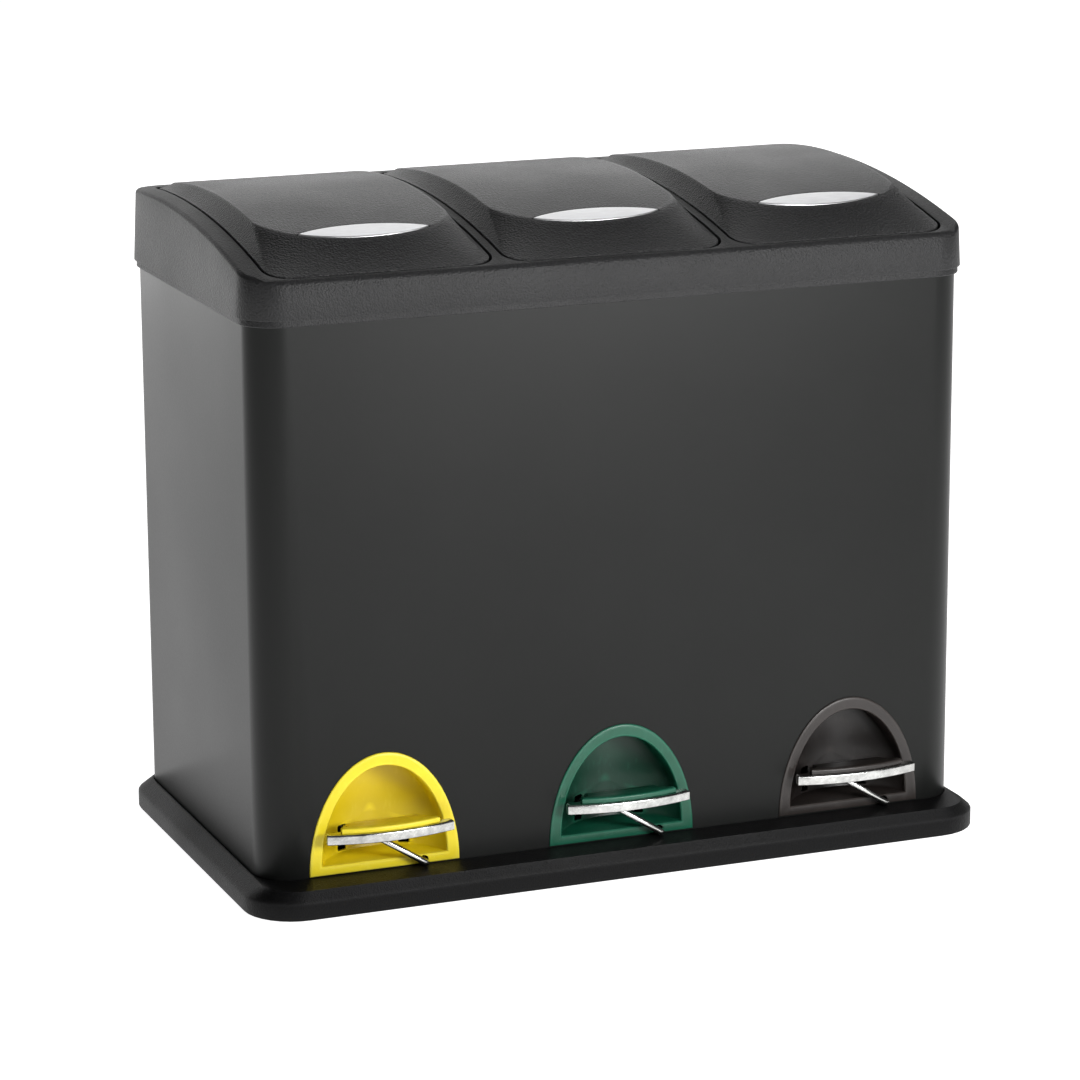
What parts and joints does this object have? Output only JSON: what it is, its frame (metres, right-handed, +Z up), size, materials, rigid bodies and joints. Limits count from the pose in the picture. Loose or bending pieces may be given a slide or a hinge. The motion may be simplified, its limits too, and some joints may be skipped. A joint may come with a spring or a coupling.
{
  "type": "pedal bin",
  "caption": "Three-compartment pedal recycling bin with a painted steel shell, dark plastic base and rim, three hinged lids and yellow, green and brown toe recesses.",
  "frame": {"origin": "on the floor under the middle of the base tray's footprint", "axes": "+X along the row of compartments to the right seen from the pedals, +Y to the back, +Z up"},
  "size_m": [0.607, 0.354, 0.5178],
  "materials": {
    "base_plastic": "fine moulded grain, near black",
    "shell_paint": "satin anthracite powder coat",
    "rim_plastic": "fine spark-eroded grain, dark grey",
    "lid_plastic": "fine spark-eroded grain, mid grey",
    "badge_silver": "brushed, bright",
    "yellow_plastic": "satin moulded yellow",
    "green_plastic": "satin moulded green",
    "brown_plastic": "satin moulded dark brown",
    "inner_plastic": "plain moulded black",
    "bucket_plastic": "plain moulded dark grey",
    "pedal_steel": "stamped, polished and zinc bright",
    "wire_steel": "bright drawn wire",
    "plain_steel": "plain zinc-plated steel",
    "soft_rubber": "soft black"
  },
  "bodies": {
    "station": {"base_tray": "base_plastic", "base_screws": "plain_steel", "feet": "soft_rubber", "outer_shell": "shell_paint", "lid_frame": "rim_plastic", "hinge_pins": "plain_steel", "lid_stops": "soft_rubber", "rod_guides": "inner_plastic", "crank_saddles": "inner_plastic", "pedal_brackets": "plain_steel", "pedal_pins": "plain_steel", "recess_frame_yellow": "yellow_plastic", "recess_frame_green": "green_plastic", "recess_frame_brown": "brown_plastic"},
    "lid_left_body": {"lid_left": "lid_plastic", "lid_badge_left": "badge_silver"},
    "rod_left_body": {"push_rod_left": "wire_steel", "rod_shoe_left": "inner_plastic"},
    "crank_left_body": {"crank_rod_left": "wire_steel"},
    "pedal_left_body": {"pedal_plate_left": "pedal_steel", "pedal_pad_left": "yellow_plastic"},
    "bucket_left_body": {"bucket_left": "bucket_plastic"},
    "bail_left_body": {"bucket_bail_left": "wire_steel"},
    "lid_middle_body": {"lid_middle": "lid_plastic", "lid_badge_middle": "badge_silver"},
    "rod_middle_body": {"push_rod_middle": "wire_steel", "rod_shoe_middle": "inner_plastic"},
    "crank_middle_body": {"crank_rod_middle": "wire_steel"},
    "pedal_middle_body": {"pedal_plate_middle": "pedal_steel", "pedal_pad_middle": "green_plastic"},
    "bucket_middle_body": {"bucket_middle": "bucket_plastic"},
    "bail_middle_body": {"bucket_bail_middle": "wire_steel"},
    "lid_right_body": {"lid_right": "lid_plastic", "lid_badge_right": "badge_silver"},
    "rod_right_body": {"push_rod_right": "wire_steel", "rod_shoe_right": "inner_plastic"},
    "crank_right_body": {"crank_rod_right": "wire_steel"},
    "pedal_right_body": {"pedal_plate_right": "pedal_steel", "pedal_pad_right": "brown_plastic"},
    "bucket_right_body": {"bucket_right": "bucket_plastic"},
    "bail_right_body": {"bucket_bail_right": "wire_steel"}
  },
  "joints": [
    {"name": "lid_left_hinge", "type": "hinge", "parent": "station", "child": "lid_left_body", "pos_m": [-0.186, 0.135, 0.5032], "axis": [-1, 0, 0], "range_deg": [0, 72]},
    {"name": "rod_left_slide", "type": "slide", "parent": "station", "child": "rod_left_body", "axis": [0, 0, 1], "range_m": [0, 0.016]},
    {"name": "crank_left_turn", "type": "hinge", "parent": "station", "child": "crank_left_body", "pos_m": [-0.163, -0.011, 0.0268], "axis": [0, -1, 0], "range_deg": [0, 21.6]},
    {"name": "pedal_left_hinge", "type": "hinge", "parent": "station", "child": "pedal_left_body", "pos_m": [-0.194, -0.101, 0.044], "axis": [1, 0, 0], "range_deg": [0, 20]},
    {"name": "bucket_left_lift", "type": "slide", "parent": "station", "child": "bucket_left_body", "axis": [0, 0, 1], "range_m": [0, 0.012]},
    {"name": "bail_left_hinge", "type": "hinge", "parent": "bucket_left_body", "child": "bail_left_body", "pos_m": [-0.186, -0.011, 0.4623], "axis": [1, 0, 0], "range_deg": [0, 18]},
    {"name": "lid_middle_hinge", "type": "hinge", "parent": "station", "child": "lid_middle_body", "pos_m": [0, 0.135, 0.5032], "axis": [-1, 0, 0], "range_deg": [0, 72]},
    {"name": "rod_middle_slide", "type": "slide", "parent": "station", "child": "rod_middle_body", "axis": [0, 0, 1], "range_m": [0, 0.016]},
    {"name": "crank_middle_turn", "type": "hinge", "parent": "station", "child": "crank_middle_body", "pos_m": [0.031, -0.011, 0.0268], "axis": [0, -1, 0], "range_deg": [0, 21.6]},
    {"name": "pedal_middle_hinge", "type": "hinge", "parent": "station", "child": "pedal_middle_body", "pos_m": [0, -0.101, 0.044], "axis": [1, 0, 0], "range_deg": [0, 20]},
    {"name": "bucket_middle_lift", "type": "slide", "parent": "station", "child": "bucket_middle_body", "axis": [0, 0, 1], "range_m": [0, 0.012]},
    {"name": "bail_middle_hinge", "type": "hinge", "parent": "bucket_middle_body", "child": "bail_middle_body", "pos_m": [0, -0.011, 0.4623], "axis": [1, 0, 0], "range_deg": [0, 18]},
    {"name": "lid_right_hinge", "type": "hinge", "parent": "station", "child": "lid_right_body", "pos_m": [0.186, 0.135, 0.5032], "axis": [-1, 0, 0], "range_deg": [0, 72]},
    {"name": "rod_right_slide", "type": "slide", "parent": "station", "child": "rod_right_body", "axis": [0, 0, 1], "range_m": [0, 0.016]},
    {"name": "crank_right_turn", "type": "hinge", "parent": "station", "child": "crank_right_body", "pos_m": [0.225, -0.011, 0.0268], "axis": [0, -1, 0], "range_deg": [0, 21.6]},
    {"name": "pedal_right_hinge", "type": "hinge", "parent": "station", "child": "pedal_right_body", "pos_m": [0.194, -0.101, 0.044], "axis": [1, 0, 0], "range_deg": [0, 20]},
    {"name": "bucket_right_lift", "type": "slide", "parent": "station", "child": "bucket_right_body", "axis": [0, 0, 1], "range_m": [0, 0.012]},
    {"name": "bail_right_hinge", "type": "hinge", "parent": "bucket_right_body", "child": "bail_right_body", "pos_m": [0.186, -0.011, 0.4623], "axis": [1, 0, 0], "range_deg": [0, 18]}
  ],
  "couplings": [
    {"joint": "rod_left_slide", "follows": "lid_left_hinge", "m_per_rad": 0.012719},
    {"joint": "crank_left_turn", "follows": "lid_left_hinge", "ratio": 0.3},
    {"joint": "pedal_left_hinge", "follows": "lid_left_hinge", "ratio": 0.2777},
    {"joint": "rod_middle_slide", "follows": "lid_middle_hinge", "m_per_rad": 0.012719},
    {"joint": "crank_middle_turn", "follows": "lid_middle_hinge", "ratio": 0.3},
    {"joint": "pedal_middle_hinge", "follows": "lid_middle_hinge", "ratio": 0.2777},
    {"joint": "rod_right_slide", "follows": "lid_right_hinge", "m_per_rad": 0.012719},
    {"joint": "crank_right_turn", "follows": "lid_right_hinge", "ratio": 0.3},
    {"joint": "pedal_right_hinge", "follows": "lid_right_hinge", "ratio": 0.2777}
  ]
}
